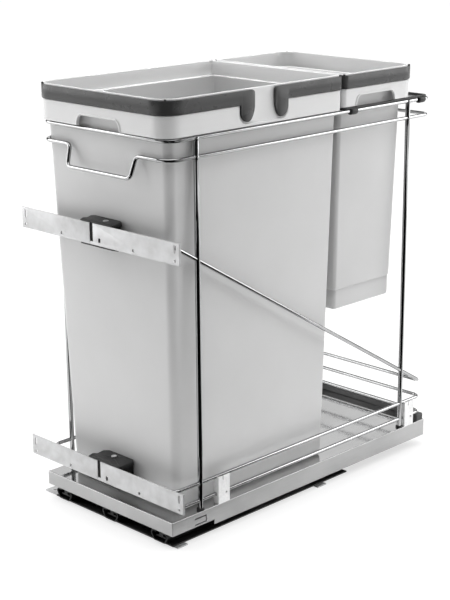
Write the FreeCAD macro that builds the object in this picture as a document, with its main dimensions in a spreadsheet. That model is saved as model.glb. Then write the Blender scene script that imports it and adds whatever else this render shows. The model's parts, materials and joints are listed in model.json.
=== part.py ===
import FreeCAD, Part
import math
import os
import re
from FreeCAD import Placement, Rotation, Vector

# Pull-out waste bin unit for a narrow kitchen base cabinet. Millimetres, +Z up, front towards -Y.
# The origin is the centre of the whole unit's footprint, on the cabinet floor.

os.makedirs("parts", exist_ok=True)
doc = FreeCAD.newDocument("pull_out_bin_unit")
sheet = doc.addObject("Spreadsheet::Sheet", "Sizes")

SIZES = [
    # platform: a folded sheet with its skirts hanging down over the slides
    ("gauge", 1.2), ("platform_width", 243.6), ("platform_depth", 505.5), ("platform_front", -250.5),
    ("platform_top", 38.5), ("side_skirt_bottom", 14), ("front_skirt_bottom", 20.5), ("notch_length", 73),
    ("edge_strip_height", 10), ("edge_strip_depth", 4), ("edge_strip_inset", 14), ("corner_block_width", 13),
    ("corner_block_depth", 16), ("corner_block_height", 9.5), ("corner_block_inset", 2.8),
    ("corner_block_round", 2.5), ("tongue_front", 39), ("tongue_length", 20), ("tongue_bottom", 22.5),
    ("tongue_top", 30.5), ("slit", 1.5), ("slide_notch_width", 34), ("slide_notch_top", 33.6),
    # base plate on two cross bars, screwed to the cabinet floor
    ("bar_thickness", 2), ("bar_width", 17), ("bar_left", -142.5), ("bar_right", 120),
    ("front_bar_y", -240), ("rear_bar_y", 23), ("base_width", 229), ("base_front", -243.5),
    ("base_depth", 333), ("base_thickness", 2), ("floor_hole", 2.5), ("floor_hole_x", 50),
    ("ear_hole_x", 131),
    # bottom-mounted ball slides
    ("slide_pitch", 93.5), ("slide_front", -247), ("channel_width", 30), ("channel_height", 14),
    ("slide_gauge", 1.5), ("lip_width", 8), ("flange_width", 18), ("flange_height", 2), ("web_width", 6),
    ("outer_length", 335), ("middle_length", 430), ("inner_length", 480), ("cage_length", 120),
    ("cage_width", 26.2), ("cage_bar", 3.7), ("cage_height", 8), ("cage_gap", 0.5),
    ("lower_cage_front", -100), ("upper_cage_front", -80), ("beam_gap", 5),
    # wire frame
    ("rail_radius", 2.5), ("rail_half_width", 116.8), ("upright_radius", 3.4), ("rail_bend", 19),
    ("low_bend", 10), ("low_rail_front", -236), ("mid_rail_front", -242), ("low_rail_rear", 247.9),
    ("low_rail_z", 51.5), ("mid_rail_z", 74.9), ("slant_front", -238.5), ("slant_front_z", 387.3),
    ("slant_rear_z", 98),
    ("top_rail_front", -241.3), ("top_rail_rear", 249.1), ("top_rail_z", 510.2), ("dip_rail_z", 487.5),
    ("dip_half_width", 61), ("dip_narrowing", 3), ("dip_depth", 26.5), ("dip_reach", 8), ("dip_bend", 7),
    ("upright_front_left", -209.5), ("upright_front_right", -196.5), ("upright_rear", 202.5),
    ("foot_radius", 5), ("foot_height", 3),
    ("holder_width", 20), ("holder_height", 37), ("holder_front", -170), ("holder_rear", 208),
    ("holder_gauge", 1.5), ("holder_offset", 4.6), ("holder_flange", 8.6),
    ("holder_screw", 1.6), ("holder_screw_y", 14), ("holder_screw_z", 13), ("holder_slot_y", 7),
    ("holder_slot_width", 2), ("holder_slot_length", 7), ("wire_gap", 0.02),
    # door brackets
    ("door_plate_front", -255), ("door_plate_half", 147), ("door_plate_height", 27),
    ("door_plate_gauge", 1.5), ("door_plate_fold", 3), ("door_gap_left", -13), ("door_gap_right", -7),
    ("door_gap_floor", 4), ("door_seam", 0.35), ("upper_plate_z", 371), ("lower_plate_z", 58.5),
    ("door_hole", 2), ("door_hole_x", 139.5), ("door_hole_z", 5), ("door_inner_hole_x", 67),
    ("door_slot_z", 14), ("door_slot_length", 10), ("door_slot_width", 3), ("door_oval_x", 5),
    ("door_oval_z", 7), ("door_oval_width", 4), ("door_oval_height", 6), ("door_oval_round", 1.6),
    ("clip_left", -31), ("clip_right", 37), ("clip_lip", 1.6), ("clip_lip_inset", 1),
    ("clip_lip_overlap", 1), ("clip_slope_x", 29), ("clip_slope_drop", 16),
    ("clip_flange", 3), ("clip_web_left", 7), ("clip_web_right", 14), ("running_gap", 0.35),
    ("upper_clip_depth", 18.4), ("lower_clip_depth", 29), ("upper_clip_rise", 2.5),
    ("lower_clip_rise", 0.6), ("clip_screw_radius", 2), ("clip_screw_head", 3.6),
    ("clip_screw_head_height", 2), ("clip_screw_length", 9), ("clip_seat", 4.2), ("clip_seat_depth", 0.6),
    ("upper_screw_x", 5), ("lower_screw_x", -3), ("upper_screw_back", 10), ("lower_screw_back", 18.5),
    ("screw_gap", 0.05), ("drive_length", 4.4), ("drive_width", 1), ("drive_depth", 0.95),
    # bins
    ("wall", 2.2), ("bin_corner", 12), ("bin_near_corner", 5), ("collar_corner", 24),
    ("collar_near_corner", 6), ("collar_step", 1.5),
    ("collar_half_width", 119), ("collar_wall", 3.4), ("collar_bottom", 513.6), ("shoulder_z", 540),
    ("rim_z", 559.4), ("ledge_z", 538), ("ledge_height", 2), ("body_half_top", 112.8),
    ("ring_half_width", 120.8), ("ring_inner_half", 117.9), ("ring_bottom", 540.4), ("ring_top", 557.6),
    ("large_front", -247.5), ("large_rear", 61.9), ("large_body_front", -238.3), ("large_body_rear", 58.4),
    ("large_foot_front", -222.5), ("large_foot_rear", 50.4), ("large_foot_half", 102),
    ("large_foot_z", 38.9), ("grip_half", 39), ("grip_top_half", 31), ("grip_height", 13),
    ("small_front", 66.4), ("small_rear", 215.5), ("small_body_front", 68.7), ("small_body_rear", 200),
    ("small_foot_front", 69.7), ("small_foot_rear", 192.6), ("small_foot_half", 104), ("small_step_z", 267),
    ("small_foot_z", 239), ("small_foot_inset", 3), ("small_body_half", 110), ("small_lift", 2.6),
    ("tab_width", 24), ("tab_bottom", 519), ("tab_front", -100.5), ("tab_rear", -65.5), ("tab_round", 11),
    ("recess_margin", 1), ("recess_depth", 0.4), ("recess_round", 11.5), ("band_round", 1.8),
    ("pip_radius", 5), ("pip_height", 3), ("pip_inset", 22), ("pip_spread", 38), ("pip_shift", 10),
    ("carrier_rear", 246), ("carrier_thickness", 2.6), ("carrier_bar", 5), ("carrier_clip", 14),
    ("carrier_overhang", 2.2), ("carrier_lead", 3.4), ("carrier_corner", 10), ("carrier_clip_half", 4.6),
    ("carrier_clip_drop", 4.4), ("carrier_clip_height", 9), ("carrier_clip_front", 13),
    ("carrier_clip_margin", 9), ("carrier_gap", 0.1),
]
for row, (alias, number) in enumerate(SIZES, start=1):
    sheet.set(f"A{row}", alias)
    sheet.set(f"B{row}", str(number))
    sheet.setAlias(f"B{row}", alias)
doc.recompute()
ALIASES = {alias for alias, number in SIZES}
AXIS_X = Vector(1, 0, 0)
AXIS_Y = Vector(0, 1, 0)
AXIS_Z = Vector(0, 0, 1)
LEFT_RIGHT = (("left", -1), ("right", 1))
# a clip seen from above: each corner's x, and how far back it is as a share of the clip's depth
CLIP_OUTLINE = (("clip_left", 0), ("clip_left-2", 0.25), ("clip_left+3", 0.42), ("clip_left+1", 0.8),
                ("clip_left+7", 1), ("clip_right-15", 1), ("clip_right-4", 0.72), ("clip_right", 0))
made = []


def bound(words):
    """An expression on the sheet's cells, from one that names them plainly."""
    return re.sub(r"[a-z_]+", lambda word: "Sizes." + word.group() if word.group() in ALIASES
                  else word.group(), str(words))


def size(words):
    """The number that such an expression gives now."""
    return float(sheet.evalExpression(bound(words)))


def place(piece, x, y, z):
    for axis, words in zip("xyz", (x, y, z)):
        piece.setExpression("Placement.Base." + axis, bound(words))
    return piece


def box(name, x, y, z, length, width, height):
    """A box from its lowest corner and its sides, each an expression on the cells."""
    piece = doc.addObject("Part::Box", name)
    for side, words in (("Length", length), ("Width", width), ("Height", height)):
        piece.setExpression(side, bound(words))
    return place(piece, x, y, z)


def rod(name, x, y, z, radius, length, axis=AXIS_Z):
    """A cylinder that starts at a point and runs along an axis."""
    piece = doc.addObject("Part::Cylinder", name)
    piece.setExpression("Radius", bound(radius))
    piece.setExpression("Height", bound(length))
    piece.Placement = Placement(Vector(), Rotation(AXIS_Z, axis))
    return place(piece, x, y, z)


def cut(name, base, *tools):
    tool = tools[0] if len(tools) == 1 else fuse(name + "_cutters", *tools)
    piece = doc.addObject("Part::Cut", name)
    piece.Base = base
    piece.Tool = tool
    return piece


def fuse(name, *pieces):
    piece = doc.addObject("Part::MultiFuse", name)
    piece.Shapes = list(pieces)
    return piece


def pair(radius):
    """A radius for the front edges and one for the rear edges, from one for both or such a pair."""
    return radius if isinstance(radius, tuple) else (radius, radius)


def less(radius, amount):
    return tuple(f"{one}-({amount})" for one in pair(radius))


def rounded(name, base, radius, wanted):
    """A fillet on every edge that wanted(edge) picks."""
    doc.recompute()
    middle = base.Shape.BoundBox.Center.y
    front, rear = (size(one) for one in pair(radius))
    edges = [(index, rear if edge.BoundBox.Center.y > middle else front)
             for index, edge in enumerate(base.Shape.Edges, start=1) if wanted(edge)]
    piece = doc.addObject("Part::Fillet", name)
    piece.Base = base
    piece.Edges = [(index, value, value) for index, value in edges]
    return piece


def is_upright(edge):
    return abs(edge.Vertexes[0].Z - edge.Vertexes[-1].Z) > 1


def along_y(edge):
    return edge.BoundBox.YMax - edge.BoundBox.YMin > 1


def along_x(edge):
    return edge.BoundBox.XMax - edge.BoundBox.XMin > 1 and edge.BoundBox.YMax - edge.BoundBox.YMin < 0.01


def prism(name, corners, length, axis):
    """A flat outline, its corners given as expressions, drawn out along an axis."""
    outline = doc.addObject("Part::Polygon", name + "_outline")
    outline.Nodes = [Vector(*[size(words) for words in corner]) for corner in corners]
    outline.Close = True
    piece = doc.addObject("Part::Extrusion", name)
    piece.Base = outline
    piece.DirMode = "Custom"
    piece.Dir = axis
    piece.Solid = True
    piece.setExpression("LengthFwd", bound(length))
    return piece


def block(name, half, front, rear, bottom, top, radius):
    """An upright block with rounded corners, centred on the Y axis."""
    raw = box(name + "_raw", f"-({half})", front, bottom, f"2*({half})", f"({rear})-({front})",
              f"({top})-({bottom})")
    return rounded(name, raw, radius, is_upright)


def hoop(name, half, front, rear, bottom, top, radius, wall):
    """A rounded frame of one wall thickness, open above and below."""
    outside = block(name + "_out", half, front, rear, bottom, top, radius)
    inside = block(name + "_in", f"{half}-({wall})", f"{front}+{wall}", f"{rear}-({wall})",
                   f"{bottom}-1", f"{top}+1", less(radius, wall))
    return cut(name, outside, inside)


def taper(name, foot, top, radius):
    """A tapered block: foot and top each give half width, front, rear and height."""
    piece = doc.addObject("Part::Wedge", name + "_raw")
    for prefix, (half, front, rear, height) in (("", foot), ("2", top)):
        piece.setExpression(f"X{prefix}min", bound(f"-({half})"))
        piece.setExpression(f"X{prefix}max", bound(half))
        piece.setExpression(f"Z{prefix}min", bound(f"-({rear})"))
        piece.setExpression(f"Z{prefix}max", bound(f"-({front})"))
    piece.setExpression("Ymin", bound(foot[3]))
    piece.setExpression("Ymax", bound(top[3]))
    piece.Placement = Placement(Vector(), Rotation(AXIS_X, 90))
    return rounded(name, piece, radius, is_upright)


def bent_wire(name, points, bends, radius="rail_radius"):
    """A closed loop of round wire: a rod for each straight run and part of a torus for each bend."""
    count = len(points)
    corners = []
    for index, (corner, bend) in enumerate(zip(points, bends)):
        back = (points[index - 1] - corner).normalize()
        ahead = (points[(index + 1) % count] - corner).normalize()
        turn = math.pi - back.getAngle(ahead)
        trim = size(bend) * math.tan(turn / 2)
        corners.append((corner + back * trim, corner + ahead * trim, back, ahead, turn))
    pieces = []
    for index, ((start, end, back, ahead, turn), bend) in enumerate(zip(corners, bends)):
        normal = ahead.cross(back).normalize()
        inward = normal.cross(back).normalize()
        elbow = doc.addObject("Part::Torus", f"{name}_bend_{index}")
        elbow.setExpression("Radius1", bound(bend))
        elbow.setExpression("Radius2", bound(radius))
        elbow.Angle3 = math.degrees(turn)
        if inward.dot(ahead) < 0:
            inward = inward * -1
        centre = start + inward * size(bend)
        spoke = (start - centre).normalize()
        pole = spoke.cross(back * -1).normalize()
        elbow.Placement = Placement(centre, Rotation(spoke, pole.cross(spoke), pole, "XZY"))
        following = corners[(index + 1) % count][0]
        run = doc.addObject("Part::Cylinder", f"{name}_run_{index}")
        run.setExpression("Radius", bound(radius))
        run.Height = (following - end).Length
        run.Placement = Placement(end, Rotation(AXIS_Z, following - end))
        pieces += [elbow, run]
    return fuse(name, *pieces)


def rail(name, front, rear, front_z, rear_z, front_bend, rear_bend="low_bend"):
    """A rectangular loop of wire round the bins, level or sloping."""
    half = size("rail_half_width")
    corners = [(-half, front, front_z), (half, front, front_z), (half, rear, rear_z), (-half, rear, rear_z)]
    points = [Vector(x, size(y), size(z)) for x, y, z in corners]
    return bent_wire(name, points, [front_bend, front_bend, rear_bend, rear_bend])


def sub_part(label, piece):
    """Keep a finished piece: its label names its file."""
    piece.Label = label
    made.append(piece)
    return piece


def base_parts():
    """Base plate, cross bars and the fixed rails of the three slides."""
    def holes(tag, bottom, depth, ends):
        return [rod(f"{tag}_hole_{side}_{end}", f"{sign}*floor_hole_x", f"{end}_bar_y+bar_width/2",
                    f"{bottom}-1", "floor_hole", f"{depth}+2")
                for side, sign in LEFT_RIGHT for end in ends]
    plate = box("plate_raw", "-base_width/2", "base_front", "bar_thickness", "base_width", "base_depth",
                "base_thickness")
    plate_holes = holes("plate", "bar_thickness", "base_thickness", ("front", "rear"))
    sub_part("base_plate", cut("plate", plate, *plate_holes))
    for end in ("front", "rear"):
        bar = box(f"{end}_bar_raw", "bar_left", f"{end}_bar_y", "0", "bar_right-bar_left", "bar_width",
                  "bar_thickness")
        ear = rod(f"{end}_ear_hole", "-ear_hole_x", f"{end}_bar_y+bar_width/2", "-1", "floor_hole",
                  "bar_thickness+2")
        sub_part(f"{end}_cross_bar", cut(f"{end}_bar", bar, ear, *holes(f"{end}_bar", "0", "bar_thickness",
                                                                        (end,))))


def channel(name, x, front, floor, length, up):
    """A lipped channel: up is 1 when it opens upwards and -1 when it opens downwards."""
    low = floor if up > 0 else f"{floor}-channel_height"
    back = floor if up > 0 else f"{floor}-slide_gauge"
    mouth = f"{floor}+channel_height-slide_gauge-1" if up > 0 else f"{floor}-channel_height-1"
    hollow = f"{floor}+slide_gauge" if up > 0 else f"{floor}-channel_height+slide_gauge"
    outside = box(name + "_out", f"{x}-channel_width/2", front, low, "channel_width", length,
                  "channel_height")
    inside = box(name + "_in", f"{x}-channel_width/2+slide_gauge", f"{front}-1", hollow,
                 "channel_width-2*slide_gauge", f"{length}+2", "channel_height-2*slide_gauge")
    opening = box(name + "_mouth", f"{x}-channel_width/2+lip_width", f"{front}-1", mouth,
                  "channel_width-2*lip_width", f"{length}+2", "slide_gauge+2")
    return cut(name, outside, inside, opening)


def slides():
    """Each slide nests a fixed channel, a beam and a channel under the platform, on two ball cages."""
    for side, sign in (("left", -1), ("centre", 0), ("right", 1)):
        x = f"({sign}*slide_pitch)"
        floor = "(bar_thickness+base_thickness)"
        roof = "(platform_top-gauge)"
        sub_part(f"outer_rail_{side}",
                 channel(f"outer_{side}", x, "slide_front", floor, "outer_length", 1))
        sub_part(f"inner_rail_{side}",
                 channel(f"inner_{side}", x, "slide_front+1", roof, "inner_length", -1))
        low = f"{floor}+beam_gap"
        high = f"{roof}-beam_gap-flange_height"
        flanges = [box(f"beam_{side}_{tag}", f"{x}-flange_width/2", "slide_front+3", z, "flange_width",
                       "middle_length", "flange_height") for tag, z in (("low", low), ("high", high))]
        web = box(f"beam_{side}_web", f"{x}-web_width/2", "slide_front+3", low, "web_width",
                  "middle_length", f"{high}-({low})+flange_height")
        sub_part(f"middle_rail_{side}", fuse(f"middle_{side}", web, *flanges))
        for level, low_z, lift in (("lower", f"{floor}+slide_gauge+cage_gap", 1),
                                   ("upper", f"{roof}-slide_gauge-cage_gap-cage_height", -1)):
            start = f"{level}_cage_front"
            outside = box(f"cage_{level}_{side}_out", f"{x}-cage_width/2", start, low_z, "cage_width",
                          "cage_length", "cage_height")
            inside = box(f"cage_{level}_{side}_in", f"{x}-cage_width/2+cage_bar", f"{start}-1",
                         f"{low_z}+{lift}", "cage_width-2*cage_bar", "cage_length+2", "cage_height")
            sub_part(f"{level}_ball_cage_{side}", cut(f"cage_{level}_{side}", outside, inside))


def platform():
    """Flat top with skirts, shorter at the front; the rear one is notched to pass over the slides."""
    half = "platform_width/2"
    skirt = "platform_top-side_skirt_bottom"
    raw = box("platform_raw", f"-{half}", "platform_front", "side_skirt_bottom", "platform_width",
              "platform_depth", skirt)
    outside = rounded("platform_out", raw, "gauge",
                      lambda edge: is_upright(edge) or edge.BoundBox.ZMin > size("platform_top") - 1)
    inside = box("platform_in", f"-{half}+gauge", "platform_front+gauge", "side_skirt_bottom-1",
                 "platform_width-2*gauge", "platform_depth-2*gauge", f"{skirt}-gauge+1")
    notch = box("platform_notch", f"-{half}-1", "platform_front-1", "side_skirt_bottom-1",
                "platform_width+2", "notch_length+1", "front_skirt_bottom-side_skirt_bottom+1")
    back = "platform_front+platform_depth"
    passages = [box(f"slide_notch_{index}", f"{index}*slide_pitch-slide_notch_width/2", f"{back}-4",
                    "side_skirt_bottom-1", "slide_notch_width", "5", "slide_notch_top-side_skirt_bottom+1")
                for index in (-1, 0, 1)]
    slots = []
    for side, sign in LEFT_RIGHT:
        x, y = f"{sign}*{half}-2", "platform_front+tongue_front"
        slots += [box(f"tongue_{side}_top", x, y, "tongue_top", "4", "tongue_length", "slit"),
                  box(f"tongue_{side}_end", x, f"{y}+tongue_length-slit", "tongue_bottom", "4", "slit",
                      "tongue_top-tongue_bottom+slit"),
                  box(f"tongue_{side}_low", x, y, "tongue_bottom", "4", "tongue_length", "slit")]
    sub_part("platform", cut("platform_cut", outside, inside, notch, *passages, *slots))
    strip = box("strip", "-rail_half_width+edge_strip_inset", f"{back}-edge_strip_depth-1", "platform_top",
                "2*rail_half_width-2*edge_strip_inset", "edge_strip_depth", "edge_strip_height")
    sub_part("rear_edge_strip", strip)
    for side, sign in LEFT_RIGHT:
        corner = box(f"corner_{side}_raw",
                     f"{sign}*(rail_half_width-corner_block_inset)-corner_block_width/2",
                     f"{back}-corner_block_depth-1", "platform_top", "corner_block_width",
                     "corner_block_depth", "corner_block_height")
        top = size("platform_top+corner_block_height")
        soft = rounded(f"corner_{side}", corner, "corner_block_round",
                       lambda edge: is_upright(edge) or edge.BoundBox.ZMin > top - 1)
        sub_part(f"rear_corner_block_{side}", soft)


def wire_frame():
    """Wire loops, uprights with their feet, and the holders that tie the low loops to the platform."""
    sub_part("low_rail", rail("low_loop", "low_rail_front", "low_rail_rear", "low_rail_z", "low_rail_z",
                              "low_bend"))
    sub_part("mid_rail", rail("mid_loop", "mid_rail_front", "low_rail_rear", "mid_rail_z", "mid_rail_z",
                              "low_bend"))
    sub_part("slanted_rail", rail("slanted_loop", "slant_front", "low_rail_rear", "slant_front_z",
                                  "slant_rear_z", "low_bend"))
    sub_part("top_rail", rail("top_loop", "top_rail_front", "top_rail_rear", "top_rail_z", "top_rail_z",
                              "rail_bend"))
    half, front, rear = size("rail_half_width"), size("top_rail_front"), size("top_rail_rear")
    height, dip, foot = size("dip_rail_z"), size("dip_half_width"), size("dip_half_width-dip_narrowing")
    low_y, low_z = front - size("dip_reach"), height - size("dip_depth")
    corners = [(-half, front, height), (-dip, front, height), (-foot, low_y, low_z),
               (foot, low_y, low_z), (dip, front, height), (half, front, height),
               (half, rear, height), (-half, rear, height)]
    bends = ["rail_bend"] + 4 * ["dip_bend"] + ["rail_bend"] + 2 * ["low_bend"]
    sub_part("dip_rail", bent_wire("dip_loop", [Vector(*corner) for corner in corners], bends))
    for side, sign in LEFT_RIGHT:
        for end in ("front", "rear"):
            x = f"{sign}*rail_half_width"
            y = f"upright_front_{side}" if end == "front" else "upright_rear"
            sub_part(f"upright_{end}_{side}", rod(f"post_{end}_{side}", x, y, "platform_top+foot_height",
                                                 "upright_radius", "top_rail_z-platform_top-foot_height+2"))
            sub_part(f"upright_foot_{end}_{side}", rod(f"foot_{end}_{side}", x, y, "platform_top",
                                                      "foot_radius", "foot_height"))
            rail_holder(end, side, sign)


def rail_holder(end, side, sign):
    """Angle bracket on the platform: a side plate, and a flange that the two low rails pass through."""
    tag = f"holder_{end}_{side}"
    front = f"holder_{end}"
    middle = f"{sign}*(rail_half_width+holder_offset)"
    plate = box(tag + "_plate", f"{middle}-holder_gauge/2", front, "platform_top", "holder_gauge",
                "holder_width", "holder_height")
    flange_x = f"{middle}-holder_flange" if sign > 0 else middle
    flange = box(tag + "_flange", flange_x, front, "platform_top", "holder_flange", "holder_gauge",
                 "holder_height")
    holes = [rod(f"{tag}_hole_{index}", f"{sign}*rail_half_width", f"{front}-1", z, "rail_radius+wire_gap",
                 "4", AXIS_Y) for index, z in enumerate(("low_rail_z", "mid_rail_z"))]
    screw = rod(f"{tag}_screw", f"{middle}-3", f"{front}+holder_screw_y", "platform_top+holder_screw_z",
                "holder_screw", "6", AXIS_X)
    slot = box(f"{tag}_slot", f"{middle}-3", f"{front}+holder_slot_y",
               "platform_top+holder_height-holder_slot_length+1", "6", "holder_slot_width",
               "holder_slot_length")
    sub_part(f"rail_holder_{end}_{side}", cut(tag, fuse(tag + "_angle", plate, flange), *holes, screw, slot))


def door_plates(level):
    """Two plates end to end; the right one has a gap by its inner end, closed below, and an oval hole."""
    low = f"{level}_plate_z"
    spans = (("left", "-door_plate_half", "door_gap_left", -1),
             ("right", "door_gap_left+door_seam", "door_plate_half", 1))
    for side, start, end, sign in spans:
        tag = f"door_{level}_{side}"
        flat = box(tag + "_flat", start, "door_plate_front", low, f"{end}-({start})", "door_plate_gauge",
                   "door_plate_height")
        fold_x = start if sign < 0 else f"{end}-door_plate_gauge"
        fold = box(tag + "_fold", fold_x, "door_plate_front", low, "door_plate_gauge", "door_plate_fold",
                   "door_plate_height")
        cutters = [rod(f"{tag}_{word}", f"{sign}*{x}", "door_plate_front-1", f"{low}+door_hole_z",
                       "door_hole", "4", AXIS_Y)
                   for word, x in (("end_hole", "door_hole_x"), ("inner_hole", "door_inner_hole_x"))]
        cutters.append(box(tag + "_slot", f"{sign}*door_hole_x-door_slot_width/2", "door_plate_front-1",
                           f"{low}+door_slot_z", "door_slot_width", "4", "door_slot_length"))
        if side == "right":
            cutters.append(box(tag + "_gap", "door_gap_left-1", "door_plate_front-1",
                               f"{low}+door_gap_floor", "door_gap_right-door_gap_left+1", "4",
                               "door_plate_height"))
            oval = box(tag + "_oval_raw", "door_oval_x-door_oval_width/2", "door_plate_front-1",
                       f"{low}+door_oval_z-door_oval_height/2", "door_oval_width", "4",
                       "door_oval_height")
            cutters.append(rounded(tag + "_oval", oval, "door_oval_round", along_y))
        sub_part(f"{level}_door_plate_{side}", cut(tag, fuse(tag + "_sheet", flat, fold), *cutters))


def door_clip(level, wire_y, wire_z):
    """Plastic clip on a front wire, with lips over the door plates and a clamping screw in a seat."""
    back = "(door_plate_front+door_plate_gauge)"
    low = f"({level}_plate_z-clip_lip-running_gap)"
    high = f"({level}_plate_z+door_plate_height+clip_lip+running_gap)"
    rise = f"{level}_clip_rise"
    depth = f"({level}_clip_depth-running_gap)"
    corners = [(x, f"{back}+running_gap+{share}*{depth}", low) for x, share in CLIP_OUTLINE]
    body = prism(f"clip_{level}_body", corners, f"{high}-{low}+{rise}", AXIS_Z)
    roof = [("clip_left-5", back, high), ("clip_left-5", f"{back}+{level}_clip_depth", f"{high}+{rise}"),
            ("clip_left-5", back, f"{high}+{rise}")]
    lean = "(clip_right-clip_slope_x)/clip_slope_drop"
    slope = [("clip_right+1", f"{back}-5", f"{high}-clip_slope_drop-1/({lean})"),
             ("clip_right+1", f"{back}-5", f"{high}+{rise}+1"),
             (f"clip_slope_x-({rise}+1)*{lean}", f"{back}-5", f"{high}+{rise}+1")]
    lips = [box(f"clip_{level}_lip_{index}", "clip_left+clip_lip_inset", "door_plate_front", z,
                "clip_slope_x-clip_left-clip_lip_inset",
                "door_plate_gauge+running_gap+clip_lip_overlap", "clip_lip")
            for index, z in enumerate((low, f"{high}-clip_lip"))]
    screw_x, screw_y = f"{level}_screw_x", f"{back}+{level}_screw_back"
    seat = f"({high}-clip_seat_depth)"
    waist = [box(f"clip_{level}_waist_{side}", x, back, f"{low}+clip_flange", width,
                 f"{level}_clip_depth+5", f"{high}-{low}-2*clip_flange")
             for side, x, width in (("left", "clip_left-5", "5+clip_web_left"),
                                    ("right", "clip_right-clip_web_right", "clip_web_right+5"))]
    cutters = waist + [
        prism(f"clip_{level}_roof", roof, "clip_right-clip_left+10", AXIS_X),
        prism(f"clip_{level}_slope", slope, f"{level}_clip_depth+10", AXIS_Y),
        rod(f"clip_{level}_wire", "clip_left-5", wire_y, wire_z, "rail_radius+wire_gap",
            "clip_right-clip_left+10", AXIS_X),
        rod(f"clip_{level}_bore", screw_x, screw_y, f"{seat}-clip_screw_length-1",
            "clip_screw_radius+screw_gap", "clip_screw_length+2"),
        rod(f"clip_{level}_seat", screw_x, screw_y, seat, "clip_seat", f"clip_seat_depth+{rise}+1"),
    ]
    sub_part(f"{level}_clip", cut(f"clip_{level}", fuse(f"clip_{level}_whole", body, *lips), *cutters))
    head = rod(f"screw_{level}_head", screw_x, screw_y, f"{seat}+screw_gap", "clip_screw_head",
               "clip_screw_head_height")
    shank = rod(f"screw_{level}_shank", screw_x, screw_y, f"{seat}-clip_screw_length",
                "clip_screw_radius", "clip_screw_length+1")
    drive = [box(f"screw_{level}_drive_{tag}", f"{screw_x}-{dx}/2", f"{screw_y}-{dy}/2",
                 f"{seat}+screw_gap+clip_screw_head_height-drive_depth", dx, dy, "2")
             for tag, dx, dy in (("across", "drive_length", "drive_width"),
                                 ("along", "drive_width", "drive_length"))]
    sub_part(f"{level}_clip_screw", cut(f"screw_{level}", fuse(f"screw_{level}_whole", head, shank), *drive))


def bin_shell(tag, body_top, body_foot, front, rear, bottom, hollow_foot, corners, collar_corners):
    """Tapered body hung from a collar by a ledge; the collar steps in above its shoulder."""
    half, body_front, body_rear, height = body_top
    outside = taper(tag + "_body", body_foot, body_top, corners)
    inside_top = (f"{half}-wall", f"{body_front}+wall", f"{body_rear}-wall", f"{height}+0.01")
    foot_half, foot_front, foot_rear, foot_z = body_foot
    inside_foot = (f"{foot_half}-wall", f"{foot_front}+wall", f"{foot_rear}-wall", hollow_foot)
    hollow = taper(tag + "_hollow", inside_foot, inside_top, less(corners, "wall"))
    collar = hoop(tag + "_collar", "collar_half_width", front, rear, bottom, "rim_z", collar_corners,
                  "collar_wall")
    trim = hoop(tag + "_trim", "collar_half_width+5", f"{front}-5", f"{rear}+5", "shoulder_z", "rim_z+1",
                less(collar_corners, "-5"), "5+collar_step")
    ledge = block(tag + "_ledge", "collar_half_width-2", f"{front}+2", f"{rear}-2", "ledge_z",
                  "ledge_z+ledge_height", less(collar_corners, "2"))
    return outside, hollow, cut(tag + "_stepped", collar, trim), ledge


def grip_prism(tag, middle, wide_x, depth, bottom):
    """Cutter for a finger grip in a collar's lower edge, wider at the bottom than at the top."""
    piece = doc.addObject("Part::Wedge", tag)
    for key, words in (("Xmin", "-grip_half"), ("Xmax", "grip_half"), ("X2min", "-grip_top_half"),
                       ("X2max", "grip_top_half"), ("Ymin", "-1"), ("Ymax", "grip_height"),
                       ("Zmin", f"-({depth})/2"), ("Zmax", f"({depth})/2"),
                       ("Z2min", f"-({depth})/2"), ("Z2max", f"({depth})/2")):
        piece.setExpression(key, bound(words))
    turn = Rotation(AXIS_X, 90) if wide_x else Rotation(AXIS_Z, 90).multiply(Rotation(AXIS_X, 90))
    piece.Placement = Placement(Vector(), turn)
    x, y = middle
    return place(piece, x, y, bottom)


def large_bin():
    top = ("body_half_top", "large_body_front", "large_body_rear", "ledge_z+ledge_height")
    foot = ("large_foot_half", "large_foot_front", "large_foot_rear", "large_foot_z")
    outside, hollow, collar, ledge = bin_shell("large", top, foot, "large_front", "large_rear",
                                               "collar_bottom", "large_foot_z+wall",
                                               ("bin_corner", "bin_near_corner"),
                                               ("collar_corner", "collar_near_corner"))
    grip = grip_prism("large_grip", ("0", "large_front"), True, "8", "collar_bottom")
    recesses = []
    for side, sign in LEFT_RIGHT:
        raw = box(f"tab_recess_{side}_raw", f"{sign}*(ring_inner_half-recess_depth+4)-4",
                  "tab_front-tab_width-recess_margin", "tab_bottom-1.5*recess_margin", "8",
                  "tab_rear-tab_front+2*tab_width+2*recess_margin", "60")
        low = size("tab_bottom")
        recesses.append(rounded(f"tab_recess_{side}", raw, "recess_round",
                                lambda edge: along_x(edge) and edge.BoundBox.ZMax < low))
    shell = cut("large_shell", fuse("large_solid", outside, collar, ledge), hollow, grip, *recesses)
    sub_part("large_bin", shell)


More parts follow.
